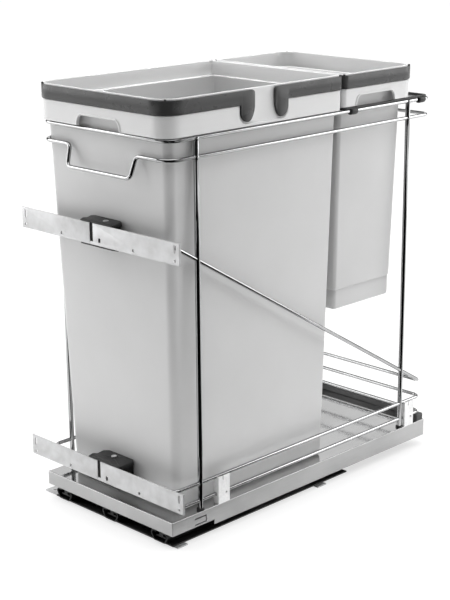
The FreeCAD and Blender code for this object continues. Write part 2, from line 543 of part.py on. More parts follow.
def small_bin():
    top = ("small_body_half", "small_body_front", "small_body_rear", "ledge_z+ledge_height")
    foot = ("small_foot_half", "small_foot_front", "small_foot_rear", "small_step_z")
    outside, hollow, collar, ledge = bin_shell("small", top, foot, "small_front", "small_rear",
                                               "collar_bottom+small_lift", "small_step_z+wall",
                                               ("bin_near_corner", "bin_corner"),
                                               ("collar_near_corner", "collar_corner"))
    inset = "small_foot_inset"
    plinth = block("small_plinth", f"small_foot_half-{inset}", f"small_foot_front+{inset}",
                   f"small_foot_rear-{inset}", "small_foot_z", "small_step_z+1", "bin_near_corner")
    well = block("small_well", f"small_foot_half-{inset}-wall", f"small_foot_front+{inset}+wall",
                 f"small_foot_rear-{inset}-wall", "small_foot_z+wall", "small_step_z+2*wall",
                 "bin_near_corner-wall")
    middle = "((small_front+small_rear)/2-pip_shift)"
    grips = [grip_prism(f"small_grip_{side}", (f"{sign}*collar_half_width", middle), False, "8",
                        "collar_bottom+small_lift") for side, sign in LEFT_RIGHT]
    feet = [rod(f"small_pip_{x}_{y}", f"{x}*(small_foot_half-pip_inset)",
                f"{middle}+{y}*pip_spread", "small_foot_z-pip_height", "pip_radius",
                "pip_height+1") for x in (-1, 1) for y in (-1, 1)]
    shell = cut("small_shell", fuse("small_solid", outside, collar, ledge, plinth), hollow, well, *grips)
    sub_part("small_bin", fuse("small_whole", shell, *feet))


def bag_rings():
    """Dark bands round the rims that clamp the bags: two halves on the large bin, one on the small."""
    def band(tag, front, rear, corners):
        grow = "(ring_half_width-collar_half_width)"
        return hoop(tag, "ring_half_width", f"{front}-{grow}", f"{rear}+{grow}", "ring_bottom", "ring_top",
                    less(corners, "-band_round"), "ring_half_width-ring_inner_half")
    sub_part("small_bag_ring", band("small_band", "small_front", "small_rear",
                                    ("collar_near_corner", "collar_corner")))
    wide = "2*ring_half_width+2"
    half = "(ring_half_width-ring_inner_half)/2"
    low = size("tab_bottom+1")
    halves = (("front", "-platform_depth", "tab_front", "tab_front-tab_width"),
              ("rear", "tab_rear", "platform_depth", "tab_rear"))
    for end, start, stop, tab_y in halves:
        keep = box(f"{end}_band_keep", f"-({wide})/2", start, "ring_bottom-1", wide, f"{stop}-({start})",
                   "30")
        whole = band(f"{end}_band_whole", "large_front", "large_rear",
                     ("collar_corner", "collar_near_corner"))
        common = doc.addObject("Part::MultiCommon", f"{end}_band")
        common.Shapes = [whole, keep]
        tabs = []
        for side, s in LEFT_RIGHT:
            tab = box(f"{end}_tab_{side}_raw", f"{s}*(ring_half_width+ring_inner_half)/2-{half}", tab_y,
                      "tab_bottom", "ring_half_width-ring_inner_half", "tab_width", "ring_top-tab_bottom")
            tabs.append(rounded(f"{end}_tab_{side}", tab, "tab_round",
                                lambda edge: along_x(edge) and edge.BoundBox.ZMax < low))
        sub_part(f"large_bag_ring_{end}", fuse(f"{end}_band_tabs", common, *tabs))


def small_bin_carrier():
    """Flat plastic frame that lies on the top rail and clips round it; the small bin's collar sits on it."""
    rail_top = "top_rail_z+rail_radius+carrier_gap"
    frame = hoop("carrier_frame", "rail_half_width+carrier_overhang", "small_front-carrier_lead",
                 "carrier_rear", rail_top, f"{rail_top}+carrier_thickness", "carrier_corner", "carrier_bar")
    clips = []
    for side, sign in LEFT_RIGHT:
        for end, y in (("front", "small_front+carrier_clip_front"),
                       ("rear", "carrier_rear-carrier_clip-carrier_clip_margin")):
            clips.append(box(f"carrier_clip_{end}_{side}", f"{sign}*rail_half_width-carrier_clip_half", y,
                             "top_rail_z-carrier_clip_drop", "2*carrier_clip_half", "carrier_clip",
                             "carrier_clip_height"))
    groove = [rod(f"carrier_groove_{side}", f"{sign}*rail_half_width", "0", "top_rail_z",
                  "rail_radius+wire_gap", "carrier_rear", AXIS_Y) for side, sign in LEFT_RIGHT]
    sub_part("small_bin_carrier", cut("carrier", fuse("carrier_whole", frame, *clips), *groove))


base_parts()
slides()
platform()
wire_frame()
for level, wire_y, wire_z in (("upper", "slant_front", "slant_front_z"),
                              ("lower", "mid_rail_front", "mid_rail_z")):
    door_plates(level)
    door_clip(level, wire_y, wire_z)
large_bin()
small_bin()
bag_rings()
small_bin_carrier()
doc.recompute()

faults = [thing.Name for thing in doc.Objects if "Invalid" in thing.State or "Error" in thing.State]
faults += [piece.Label for piece in made if piece.Shape.isNull() or not piece.Shape.isValid()]
if faults:
    raise RuntimeError("failed objects: " + ", ".join(faults))
for piece in made:
    piece.Shape.exportStep(os.path.join("parts", piece.Label + ".step"))
    print(piece.Label, len(piece.Shape.Solids), round(piece.Shape.Volume))
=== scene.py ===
import json
import math

import bmesh
import bpy
from mathutils import Euler, Matrix, Vector


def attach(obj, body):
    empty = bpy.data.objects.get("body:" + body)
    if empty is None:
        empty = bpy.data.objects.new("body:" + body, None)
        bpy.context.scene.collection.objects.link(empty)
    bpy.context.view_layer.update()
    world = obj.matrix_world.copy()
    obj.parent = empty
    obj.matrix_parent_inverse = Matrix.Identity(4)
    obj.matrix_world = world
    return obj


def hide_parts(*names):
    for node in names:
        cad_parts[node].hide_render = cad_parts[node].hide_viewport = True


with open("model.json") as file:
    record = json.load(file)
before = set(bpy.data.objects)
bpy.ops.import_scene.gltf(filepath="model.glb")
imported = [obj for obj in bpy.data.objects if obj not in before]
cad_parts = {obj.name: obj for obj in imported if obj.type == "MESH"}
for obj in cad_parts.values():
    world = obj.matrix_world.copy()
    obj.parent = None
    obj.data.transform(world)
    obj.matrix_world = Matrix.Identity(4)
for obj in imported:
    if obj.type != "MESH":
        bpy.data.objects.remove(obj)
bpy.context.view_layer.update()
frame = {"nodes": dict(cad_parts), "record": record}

MM = 0.001
SIDES = (("left", -1), ("right", 1))
THREE_SLIDES = (("left", -1), ("centre", 0), ("right", 1))


# ---------------------------------------------------------------- materials

NOISE_LOW, NOISE_HIGH = 0.3, 0.7  # nearly all of a noise texture's values lie between these
PLATFORM_EDGE = (0.0382, 0.03848)  # metres above the floor: the skirts end here and the top begins


def linear(grey, tint=(1.0, 1.0, 1.0)):
    """Linear colour of a display grey from 0 to 255, with a slight tint."""
    value = (grey / 255) ** 2.2
    return (value * tint[0], value * tint[1], value * tint[2], 1.0)


class Surface:
    """A procedural material on object coordinates, which are metres here."""

    def __init__(self, name, metallic=0.0, **sockets):
        self.material = bpy.data.materials.new(name)
        self.material.use_nodes = True
        self.nodes = self.material.node_tree.nodes
        self.links = self.material.node_tree.links
        self.shader = self.nodes["Principled BSDF"]
        self.shader.inputs["Metallic"].default_value = metallic
        for socket, value in sockets.items():
            self.shader.inputs[socket.replace("_", " ")].default_value = value
        self.coords = self.nodes.new("ShaderNodeTexCoord").outputs["Object"]

    def stretched(self, scale):
        mapping = self.nodes.new("ShaderNodeMapping")
        mapping.inputs["Scale"].default_value = scale
        self.links.new(self.coords, mapping.inputs["Vector"])
        return mapping.outputs["Vector"]

    def noise(self, scale, detail=4.0, stretch=None):
        node = self.nodes.new("ShaderNodeTexNoise")
        node.inputs["Scale"].default_value = scale
        node.inputs["Detail"].default_value = detail
        source = self.coords if stretch is None else self.stretched(stretch)
        self.links.new(source, node.inputs["Vector"])
        return node.outputs["Fac"]

    def spread(self, value, low, high, start=NOISE_LOW, end=NOISE_HIGH):
        """Map a value's range from start to end on to low to high."""
        node = self.nodes.new("ShaderNodeMapRange")
        self.links.new(value, node.inputs["Value"])
        for socket, number in (("From Min", start), ("From Max", end), ("To Min", low), ("To Max", high)):
            node.inputs[socket].default_value = number
        return node.outputs["Result"]

    def ramp(self, value, first, second, start, end):
        """The colour that goes from first to second as the value goes from start to end."""
        node = self.nodes.new("ShaderNodeValToRGB")
        low, high = node.color_ramp.elements
        low.position, low.color = start, first
        high.position, high.color = end, second
        self.links.new(value, node.inputs["Fac"])
        return node.outputs["Color"]

    def colour(self, value, first, second):
        shade = self.ramp(value, first, second, NOISE_LOW, NOISE_HIGH)
        self.links.new(shade, self.shader.inputs["Base Color"])
        return self

    def rough(self, value, low, high):
        self.links.new(self.spread(value, low, high), self.shader.inputs["Roughness"])
        return self

    def bump(self, value, depth, strength=0.5):
        node = self.nodes.new("ShaderNodeBump")
        node.inputs["Distance"].default_value = depth
        node.inputs["Strength"].default_value = strength
        self.links.new(value, node.inputs["Height"])
        self.links.new(node.outputs["Normal"], self.shader.inputs["Normal"])
        return self


def moulded(name, grey, spread, roughness):
    """Injection-moulded plastic: faint flow mottling and a fine spark-eroded texture."""
    skin = Surface(name, Specular_IOR_Level=0.3)
    skin.colour(skin.noise(9.0), linear(grey - spread), linear(grey + spread))
    skin.rough(skin.noise(60.0), roughness - 0.06, roughness + 0.06)
    return skin.bump(skin.noise(1400.0, 2.0), 0.00004, 0.35).material


def chrome():
    """Bright chrome plate on drawn wire."""
    plate = Surface("chrome_plate", metallic=1.0)
    plate.colour(plate.noise(30.0), linear(154), linear(166, (0.99, 1.0, 1.01)))
    plate.rough(plate.noise(220.0), 0.04, 0.11)
    return plate.bump(plate.noise(500.0, 2.0), 0.00001, 0.15).material


def zinc():
    """Zinc-plated sheet: soft cloudy spangle and faint rolling lines."""
    sheet = Surface("zinc_plate", metallic=0.65)
    sheet.colour(sheet.noise(55.0, 6.0), linear(180), linear(200, (0.995, 1.0, 1.01)))
    sheet.rough(sheet.noise(130.0, 3.0), 0.42, 0.56)
    return sheet.bump(sheet.noise(900.0, 2.0, (0.15, 1.0, 1.0)), 0.00002, 0.3).material


def polished():
    """Platform sheet: its top is polished near to a mirror, and its skirts are brushed and coloured a darker
    grey as painted shade.
    """
    sheet = Surface("polished_sheet", metallic=1.0)
    height = sheet.nodes.new("ShaderNodeSeparateXYZ")
    sheet.links.new(sheet.coords, height.inputs["Vector"])
    top = sheet.spread(height.outputs["Z"], 0, 1, *PLATFORM_EDGE)
    hairline = sheet.noise(700.0, 3.0, (1.0, 0.04, 1.0))

    def blend(skirt, face, kind, socket_type):
        """One value on the skirts and another on the top face."""
        node = sheet.nodes.new("ShaderNodeMix")
        node.data_type = kind
        sheet.links.new(top, node.inputs["Factor"])
        sockets = [i for i in node.inputs if i.name in "AB" and i.type == socket_type]
        sheet.links.new(skirt, sockets[0])
        sheet.links.new(face, sockets[1])
        return next(o for o in node.outputs if o.type == socket_type)
    tone = sheet.spread(sheet.noise(14.0), 0, 1)
    # Painted shade: the skirts get a darker grey than the top.
    shaded_skirt_and_top_greys = [sheet.ramp(tone, linear(low), linear(high), 0, 1) for low, high in ((164, 176), (191, 203))]
    sheet.links.new(blend(*shaded_skirt_and_top_greys, "RGBA", "RGBA"), sheet.shader.inputs["Base Color"])
    rough = [sheet.spread(hairline, low, high) for low, high in ((0.38, 0.5), (0.06, 0.12))]
    sheet.links.new(blend(*rough, "FLOAT", "VALUE"), sheet.shader.inputs["Roughness"])
    return sheet.bump(sheet.noise(260.0, 2.0, (1.0, 0.05, 1.0)), 0.00001, 0.2).material


def black_coat():
    """Matt black powder coat."""
    coat = Surface("black_powder_coat")
    coat.colour(coat.noise(20.0), linear(26), linear(38))
    coat.rough(coat.noise(90.0), 0.42, 0.58)
    return coat.bump(coat.noise(1100.0, 2.0), 0.00006, 0.5).material


def shaded_slide_paint():
    """The slides' sides: sheet coloured near black as painted shade, for the shadow under the platform."""
    sheet = Surface("slide_steel_with_painted_shade", metallic=0.8)
    sheet.colour(sheet.noise(40.0), linear(46), linear(64))
    sheet.rough(sheet.noise(150.0, 3.0, (1.0, 0.1, 1.0)), 0.3, 0.45)
    return sheet.bump(sheet.noise(700.0, 2.0, (1.0, 0.05, 1.0)), 0.00001, 0.2).material


def lit_steel_paint():
    """Near-white steel as painted light: the slides' cut ends and the rail holders, coloured brighter than
    their steel to look lit.
    """
    sheet = Surface("steel_with_painted_light", metallic=0.2)
    sheet.colour(sheet.noise(300.0), linear(226), linear(240))
    return sheet.rough(sheet.noise(400.0), 0.4, 0.55).material


FINISHES = {
    "black_steel": black_coat(),
    "zinc_steel": zinc(),
    "cage_plastic": moulded("natural_nylon", 205, 5, 0.5),
    "polished_steel": polished(),
    "chrome_wire": chrome(),
    "screw_steel": zinc(),
    "bin_plastic": moulded("light_grey_plastic", 200, 2, 0.48),
    "band_plastic": moulded("dark_grey_plastic", 60, 3, 0.3),
    "dark_plastic": moulded("black_plastic", 40, 4, 0.45),
}
# Painted shade: the slides' sides are coloured near black.
PAINTED_SHADE_SLIDES = shaded_slide_paint()
# Painted light: the slides' cut ends and the rail holders are coloured near white.
PAINTED_LIGHT_STEEL = lit_steel_paint()
STRIP_SKIN = moulded("mid_grey_strip", 96, 3, 0.45)
# Painted light: the collar is coloured lighter than the body, which is the same plastic.
PAINTED_LIT_COLLAR = moulded("collar_painted_lighter", 216, 2, 0.42)
# Painted light: the bins' insides are coloured much lighter than the outside, which is the same plastic.
PAINTED_LIT_INSIDE = moulded("inside_painted_lighter", 244, 2, 0.5)

RIDES = {node: body for body, nodes in frame["record"]["behaviour"]["bodies"].items() for node in nodes}
SLOTS = {part["node"]: part["material_slot"] for part in frame["record"]["subparts"]}


def dress(obj, slot):
    obj.data.materials.clear()
    obj.data.materials.append(FINISHES[slot])


for cad_node, cad_slot in SLOTS.items():
    dress(frame["nodes"][cad_node], cad_slot)


# ---------------------------------------------------------------- mesh tools

STEP, FINE_STEP, CLOSEST = 4.0, 0.7, 0.004  # mm between samples along a path: usual, dense, and least
CORNER_ARC, BEND_ARC = 9, 10  # facets in a rounded corner, and in a bend of a wire


def finished(name, bm, *nodes, angle=35):
    """Turn a bmesh in millimetres into a piece that stands for its nodes and rides with them."""
    bmesh.ops.recalc_face_normals(bm, faces=bm.faces)
    bmesh.ops.scale(bm, vec=(MM, MM, MM), verts=bm.verts)
    mesh = bpy.data.meshes.new(name)
    bm.to_mesh(mesh)
    bm.free()
    mesh.shade_smooth()
    mesh.set_sharp_from_angle(angle=math.radians(angle))
    piece = bpy.data.objects.new(name, mesh)
    bpy.context.scene.collection.objects.link(piece)
    dress(piece, SLOTS[nodes[0]])
    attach(piece, RIDES[nodes[0]])
    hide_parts(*nodes)
    return piece


def strips(bm, loops, round_rows=False, caps=False):
    """Faces between successive closed loops of points, all the same length."""
    rows = [[bm.verts.new(point) for point in loop] for loop in loops]
    pairs = list(zip(rows, rows[1:]))
    if round_rows:
        pairs.append((rows[-1], rows[0]))
    count = len(rows[0])
    for lower, upper in pairs:
        for i in range(count):
            j = (i + 1) % count
            bm.faces.new((lower[i], lower[j], upper[j], upper[i]))
    if caps:
        bm.faces.new(rows[0])
        bm.faces.new(rows[-1])
    return rows


def grown(corner, extra):
    """The front and rear corner radii made larger, and never under 1 mm."""
    return tuple(max(1.0, radius + extra) for radius in corner)


def turns(half, front, rear, corner):
    """Centre, radius and first angle of each corner of a rounded rectangle, anticlockwise."""
    near, far = corner
    return ((half - near, front + near, near, -90), (half - far, rear - far, far, 0),
            (far - half, rear - far, far, 90), (near - half, front + near, near, 180))


def ring(half, front, rear, corner, z):
    """The corners' points of a level rounded rectangle, anticlockwise."""
    points = []
    for x, y, radius, start in turns(half, front, rear, corner):
        for i in range(CORNER_ARC + 1):
            a = math.radians(start + 90 * i / CORNER_ARC)
            points.append((x + radius * math.cos(a), y + radius * math.sin(a), z))
    return points


def path(half, front, rear, corner, dense=()):
    """Points and outward directions round a rounded rectangle, anticlockwise from its front left corner.

    dense lists (axis, low, high) stretches of the front (x) or both sides (y) to sample more finely."""
    def between(start, end, axis):
        count = max(1, round(abs(end - start) / STEP))
        places = {start + (end - start) * i / count for i in range(count + 1)}
        for name, low, high in dense:
            if name == axis:
                fine = max(1, round((high - low) / FINE_STEP))
                places |= {low + (high - low) * i / fine for i in range(fine + 1)}
        inside = [value for value in places if min(start, end) <= value <= max(start, end)]
        ordered = sorted(inside, reverse=end < start)
        return [value for i, value in enumerate(ordered) if i == 0 or abs(value - ordered[i - 1]) > CLOSEST]
    near, far = corner
    sides = ([(x, front, 0, -1) for x in between(near - half, half - near, "x")],
             [(half, y, 1, 0) for y in between(front + near, rear - far, "y")],
             [(x, rear, 0, 1) for x in between(half - far, far - half, None)],
             [(-half, y, -1, 0) for y in between(rear - far, front + near, "y")])
    way = []
    for side, (x, y, radius, start) in zip(sides, turns(half, front, rear, corner)):
        way += side
        for i in range(1, CORNER_ARC):
            a = math.radians(start + 90 * i / CORNER_ARC)
            way.append((x + radius * math.cos(a), y + radius * math.sin(a), math.cos(a), math.sin(a)))
    return way


def sweep(bm, way, profile, closed=True):
    """Carry a closed profile of (inset, height) pairs, which may vary along the path, round the path."""
    sections = [[(x - nx * inset, y - ny * inset, z) for inset, z in profile(x, y)]
                for x, y, nx, ny in way]
    strips(bm, sections, round_rows=closed, caps=not closed)


def ease(value, low, high):
    """Smooth step from 0 at low to 1 at high."""
    t = min(1, max(0, (value - low) / (high - low)))
    return t * t * (3 - 2 * t)


def wire_route(points, bends):
    """The centre line of a closed loop of bent wire: straight runs joined by arcs."""
    line = []
    for index, (corner, bend) in enumerate(zip(points, bends)):
        corner = Vector(corner)
        back = (Vector(points[index - 1]) - corner).normalized()
        ahead = (Vector(points[(index + 1) % len(points)]) - corner).normalized()
        half_turn = (math.pi - back.angle(ahead)) / 2
        centre = corner + (back + ahead).normalized() * (bend / math.cos(half_turn))
        spoke = corner + back * bend * math.tan(half_turn) - centre
        axis = spoke.cross(-back).normalized()
        line += [centre + Matrix.Rotation(2 * half_turn * i / BEND_ARC, 3, axis) @ spoke
                 for i in range(BEND_ARC + 1)]
    return line


def tube(bm, line, radii, closed=True, sides=20):
    """A round wire along a line of points, with a radius at each."""
    sections = []
    normal = None
    count = len(line)
    for index, point in enumerate(line):
        before = line[index - 1] if index or closed else point
        after = line[(index + 1) % count] if index < count - 1 or closed else point
        along = (after - before).normalized()
        normal = along.orthogonal() if normal is None else normal - along * normal.dot(along)
        normal.normalize()
        side = along.cross(normal)
        sections.append([point + radii[index] * (normal * math.cos(a) + side * math.sin(a))
                         for a in (2 * math.pi * i / sides for i in range(sides))])
    rows = strips(bm, sections, caps=not closed)
    if closed:
        first, last = rows[0], rows[-1]
        shift = min(range(sides), key=lambda k: (first[k].co - last[0].co).length)
        for i in range(sides):
            bm.faces.new((last[i], last[(i + 1) % sides], first[(i + 1 + shift) % sides],
                          first[(i + shift) % sides]))


def turned(bm, x, y, profile, sides=32):
    """A lathe shape round an upright axis, from (radius, height) pairs, closed at both ends."""
    loops = [[(x + r * math.cos(a), y + r * math.sin(a), z)
              for a in (2 * math.pi * i / sides for i in range(sides))] for r, z in profile]
    strips(bm, loops, caps=True)


def softened(node, width, shortest=3.0):
    """The CAD solid again with its long sharp edges eased by a small bevel."""
    bm = bmesh.new()
    bm.from_mesh(frame["nodes"][node].data)
    bmesh.ops.scale(bm, vec=(1 / MM, 1 / MM, 1 / MM), verts=bm.verts)
    bmesh.ops.remove_doubles(bm, verts=bm.verts, dist=0.001)
    bmesh.ops.dissolve_limit(bm, angle_limit=math.radians(0.5), verts=bm.verts, edges=bm.edges)
    edges = [edge for edge in bm.edges if len(edge.link_faces) == 2 and edge.calc_length() > shortest
             and edge.calc_face_angle() > math.radians(40)]
    bmesh.ops.bevel(bm, geom=edges, offset=width, segments=2, profile=0.5, affect="EDGES")
    return finished(node + "_eased", bm, node, angle=30)


# ---------------------------------------------------------------- bins and bands

# Millimetres. y runs from the door, which is negative, to the back of the cabinet.
SHOULDER, RIM, LEDGE, WALL = 540.0, 559.4, 540.0, 2.2
COLLAR_HALF, COLLAR_LOW, COLLAR_WALL, RIM_STEP = 119.0, 513.6, 3.4, 1.5
LARGE_FRONT, LARGE_REAR, SMALL_FRONT, SMALL_REAR = -247.5, 61.9, 66.4, 215.5
SMALL_LIFT, SMALL_GRIP_Y = 2.6, 130.95
LARGE_CORNER, SMALL_CORNER = (24.0, 6.0), (6.0, 24.0)  # front and rear corner radii
LARGE_BODY_CORNER, SMALL_BODY_CORNER = (12.0, 5.0), (5.0, 12.0)
# (half width, front, rear) and z of each bin's body, at its foot and at its top
LARGE_FOOT, LARGE_TOP = ((100.6, -222.5, 50.4), 38.9), ((112.8, -238.3, 58.4), LEDGE)
SMALL_FOOT, SMALL_TOP = ((104.0, 69.7, 192.6), 267.0), ((110.0, 68.7, 200.0), LEDGE)
LARGE_BASE_ROUND, SMALL_BASE_ROUND = 7.0, 2.5
BAND_OUT = 1.8  # how far a band stands out from its collar
BAND_HALF, BAND_LOW, BAND_TOP, BAND_WALL = COLLAR_HALF + BAND_OUT, 540.4, 557.6, 2.9
TAB_FRONT, TAB_REAR, TAB_WIDTH, TAB_LOW = -100.5, -65.5, 24.0, 519.0
TAB_FILLET, TAB_CORNER = 2.5, 5.0
RECESS_ROUND, RECESS_DEPTH, SCOOP_HALF, SCOOP_DEPTH = 11.5, 1.5, 18.0, 1.1
GRIP_HALF, GRIP_TOP, GRIP_HEIGHT, GRIP_ROUNDING = 39.0, 30.0, 13.0, 2.4
BEAD_RELIEF, BEAD_EDGE = 1.1, (2.0, 2.9)
FAR = 99.0  # beyond the reach of any grip or tongue


def grip_rise(place):
    """Height of a grip's edge above the collar's: steep at both ends and rounded into a level top."""
    share = min(1, max(0, (GRIP_HALF - abs(place)) / (GRIP_HALF - GRIP_TOP)))
    return GRIP_HEIGHT * math.sqrt(1 - (1 - share) ** GRIP_ROUNDING)


GRIP_CURVE = [(GRIP_TOP + (GRIP_HALF - GRIP_TOP) * math.cos(a) ** (2 / GRIP_ROUNDING),
               GRIP_HEIGHT * math.sin(a)) for a in (math.radians(3 * i) for i in range(30))]


def grip_bead(place, height):
    """Relief of the raised bead that frames a grip, by place and height above the collar's lower edge."""
    if abs(place) > GRIP_HALF + 4:
        return 0.0
    spot = (abs(place), height + grip_rise(place))
    gap = height if abs(place) < GRIP_TOP else min(math.dist(spot, point) for point in GRIP_CURVE)
    return BEAD_RELIEF * (1 - ease(gap, *BEAD_EDGE))


def tab_dent(y, z):
    """Depth of the recess that the two band tongues lie in, with its shallow scoop between them."""
    low, high, floor = TAB_FRONT - TAB_WIDTH - 1, TAB_REAR + TAB_WIDTH + 1, TAB_LOW - 1.5
    side = min(y - low, high - y)
    if side < -1 or z < floor - 1:
        return 0.0
    gap = min(side, z - floor)
    if side < RECESS_ROUND and z - floor < RECESS_ROUND:
        gap = RECESS_ROUND - math.hypot(RECESS_ROUND - side, RECESS_ROUND - (z - floor))
    scoop = max(0, 1 - ((y - (TAB_FRONT + TAB_REAR) / 2) / SCOOP_HALF) ** 2)
    fade = 1 - ease(z, BAND_TOP - 9.6, BAND_TOP - 0.6)
    return RECESS_DEPTH * ease(gap, -0.6, 0.6) + SCOOP_DEPTH * scoop * ease(gap, 0, 3) * fade


def collar_profile(low, dent, bead):
    """The collar's section: a skirt, a shoulder that the band rests on, and a thinner rim.

    dent gives a recess's depth by z, and bead the relief by height above the lower edge."""
    skirt_rows, rim_rows = 20, 12
    outer = [(0.7, low), (0.2, low + 0.2)]
    for i in range(skirt_rows + 1):
        z = low + 0.7 + (SHOULDER - 1.2 - low) * i / skirt_rows
        outer.append((dent(z) - bead(z - low), z))
    outer += [(max(0.5, dent(SHOULDER)), SHOULDER - 0.1), (max(RIM_STEP, dent(SHOULDER)), SHOULDER + 0.05)]
    for i in range(1, rim_rows + 1):
        z = SHOULDER + 0.05 + (RIM - 1 - SHOULDER) * i / rim_rows
        outer.append((max(RIM_STEP, dent(z)), z))
    rim = [(1.6, RIM - 0.5), (1.95, RIM - 0.1), (2.4, RIM), (2.95, RIM - 0.1), (3.3, RIM - 0.5)]
    inner = [(COLLAR_WALL, RIM - 1.1), (COLLAR_WALL, SHOULDER), (COLLAR_WALL, low + 0.7), (3.2, low + 0.2),
             (2.7, low)]
    return outer + rim + inner


def collar(name, node, front, rear, corner, lift, grips, middle=0.0):
    """The bin's upper skirt and rim. grips is "x" for one at the front or "y" for one on each side.

    The one with a grip at the front also has the recesses for the bands' tongues."""
    has_tabs = grips == "x"
    dense = [(grips, middle - GRIP_HALF - 5, middle + GRIP_HALF + 5)]
    if has_tabs:
        dense.append(("y", TAB_FRONT - TAB_WIDTH - 3, TAB_REAR + TAB_WIDTH + 3))

    def profile(x, y):
        at_side = COLLAR_HALF - abs(x) < 1
        has_grip = abs(y - front) < 1 if grips == "x" else at_side
        place = (x if grips == "x" else y - middle) if has_grip else FAR
        low = COLLAR_LOW + lift + grip_rise(place)
        dent = (lambda z: tab_dent(y, z)) if has_tabs and at_side else (lambda z: 0.0)
        return collar_profile(low, dent, lambda height: grip_bead(place, height))
    bm = bmesh.new()
    sweep(bm, path(COLLAR_HALF, front, rear, corner, dense), profile)
    # The collar takes the lighter grey: painted light.
    finished(name, bm, node).data.materials[0] = PAINTED_LIT_COLLAR


def shell(name, node, foot, top, corner, base_round, extras=()):
    """The tapered bin body with a rounded base, open at the top, with the ledge its collar hangs from."""
    (foot_box, foot_z), (top_box, top_z) = foot, top

    def level(z, inset):
        t = (z - foot_z) / (top_z - foot_z)
        half, front, rear = (a + (b - a) * t for a, b in zip(foot_box, top_box))
        return ring(half - inset, front + inset, rear - inset, grown(corner, -inset), z)

    def wall(inset):
        """One face of the wall, from its rounded base to just under the ledge."""
        rows = []
        for i in range(7):
            a = math.radians(15 * i)
            rows.append(level(foot_z + inset + base_round * (1 - math.cos(a)),
                              inset + base_round * (1 - math.sin(a))))
        return rows + [level(foot_z + (top_z - foot_z) * i / 6, inset) for i in range(1, 6)]
    half, front, rear = top_box
    outer = wall(0) + [level(top_z - 4.0, 0)]
    outer += [ring(half + 3.2, front - 3.5, rear + 1.6, grown(corner, 3), z)
              for z in (top_z - 2.0, top_z - 0.2)]
    inner = [ring(half - 1.2, front + 1.2, rear - 1.2, grown(corner, -1), top_z - 0.1),
             ring(half - WALL, front + WALL, rear - WALL, grown(corner, -WALL), top_z - 1.2)]
    inner += wall(WALL)[::-1]
    bm = bmesh.new()
    rows = strips(bm, outer + inner, caps=True)
    inside = {vert for row in rows[-len(inner):] for vert in row}
    for extra in extras:
        extra(bm)
    # The inner faces take the lighter grey: painted light.
    for face in bm.faces:
        face.material_index = int(all(vert in inside for vert in face.verts))
    finished(name, bm, node).data.materials.append(PAINTED_LIT_INSIDE)


def plinth(bm):
    """The small bin's stepped base and its four feet."""
    half, front, rear, top, low, radius = 101.0, 72.7, 189.6, 268.5, 239.0, 5.5
    rings = [ring(half - 0.5, front + 0.5, rear - 0.5, (5, 5), top)]
    rings += [ring(half, front, rear, (radius, radius), z) for z in (top - 1, low + 3.5)]
    rings += [ring(half - inset, front + inset, rear - inset, (radius - inset, radius - inset), low + z)
              for inset, z in ((0.5, 1.8), (1.6, 0.6), (3.2, 0.0))]
    strips(bm, rings, caps=True)
    for x in (-82, 82):
        for y in (93, 169):
            turned(bm, x, y, [(5, low + 1), (4.8, low - 2.2), (4.2, low - 2.8), (3.2, low - 3)])


def band_section(low, high, trim=0.0):
    """A band's section with eased edges. trim shrinks it all round, to round off a free end."""
    outer, inner = trim, BAND_WALL - trim
    low, high = low + trim, high - trim
    return [(outer + 1.2, low), (outer + 0.35, low + 0.35), (outer, low + 1.3), (outer, high - 0.9),
            (outer + 0.25, high - 0.25), (outer + 0.9, high), (inner - 0.7, high), (inner - 0.2, high - 0.2),
            (inner, high - 0.7), (inner, low + 0.7), (inner - 0.2, low + 0.2), (inner - 0.7, low)]


def tongue(reach):
    """Lower and upper edge of a band near its free end, by the distance from that end."""
    low, high = BAND_LOW, BAND_TOP
    if reach <= TAB_WIDTH:
        half = TAB_WIDTH / 2
        drop = half if reach > half else TAB_WIDTH
        low = TAB_LOW + drop * (1 - math.sqrt(max(0, 1 - (reach / half - 1) ** 2)))
    elif reach < TAB_WIDTH + TAB_FILLET:
        low += math.sqrt(max(0, TAB_FILLET ** 2 - (TAB_WIDTH + TAB_FILLET - reach) ** 2)) - TAB_FILLET
    if reach < TAB_CORNER:
        high += math.sqrt(max(0, TAB_CORNER ** 2 - (TAB_CORNER - reach) ** 2)) - TAB_CORNER
    return low, high


def pegs(bm, front, rear, corner, ends=(-1, 1)):
    """The little pegs that stand on a band at its corners, at the front (-1), the rear (1) or both."""
    peg = [(1.6, BAND_TOP - 1.0), (1.6, RIM - 0.6), (1.2, RIM - 0.15), (0.6, RIM)]
    for end in ends:
        y, radius = (front, corner[0]) if end < 0 else (rear, corner[1])
        inward = (radius + BAND_OUT) * (1 - math.sqrt(0.5)) + 1.1
        for _, side in SIDES:
            turned(bm, side * (BAND_HALF - inward), y - end * inward, peg, 16)


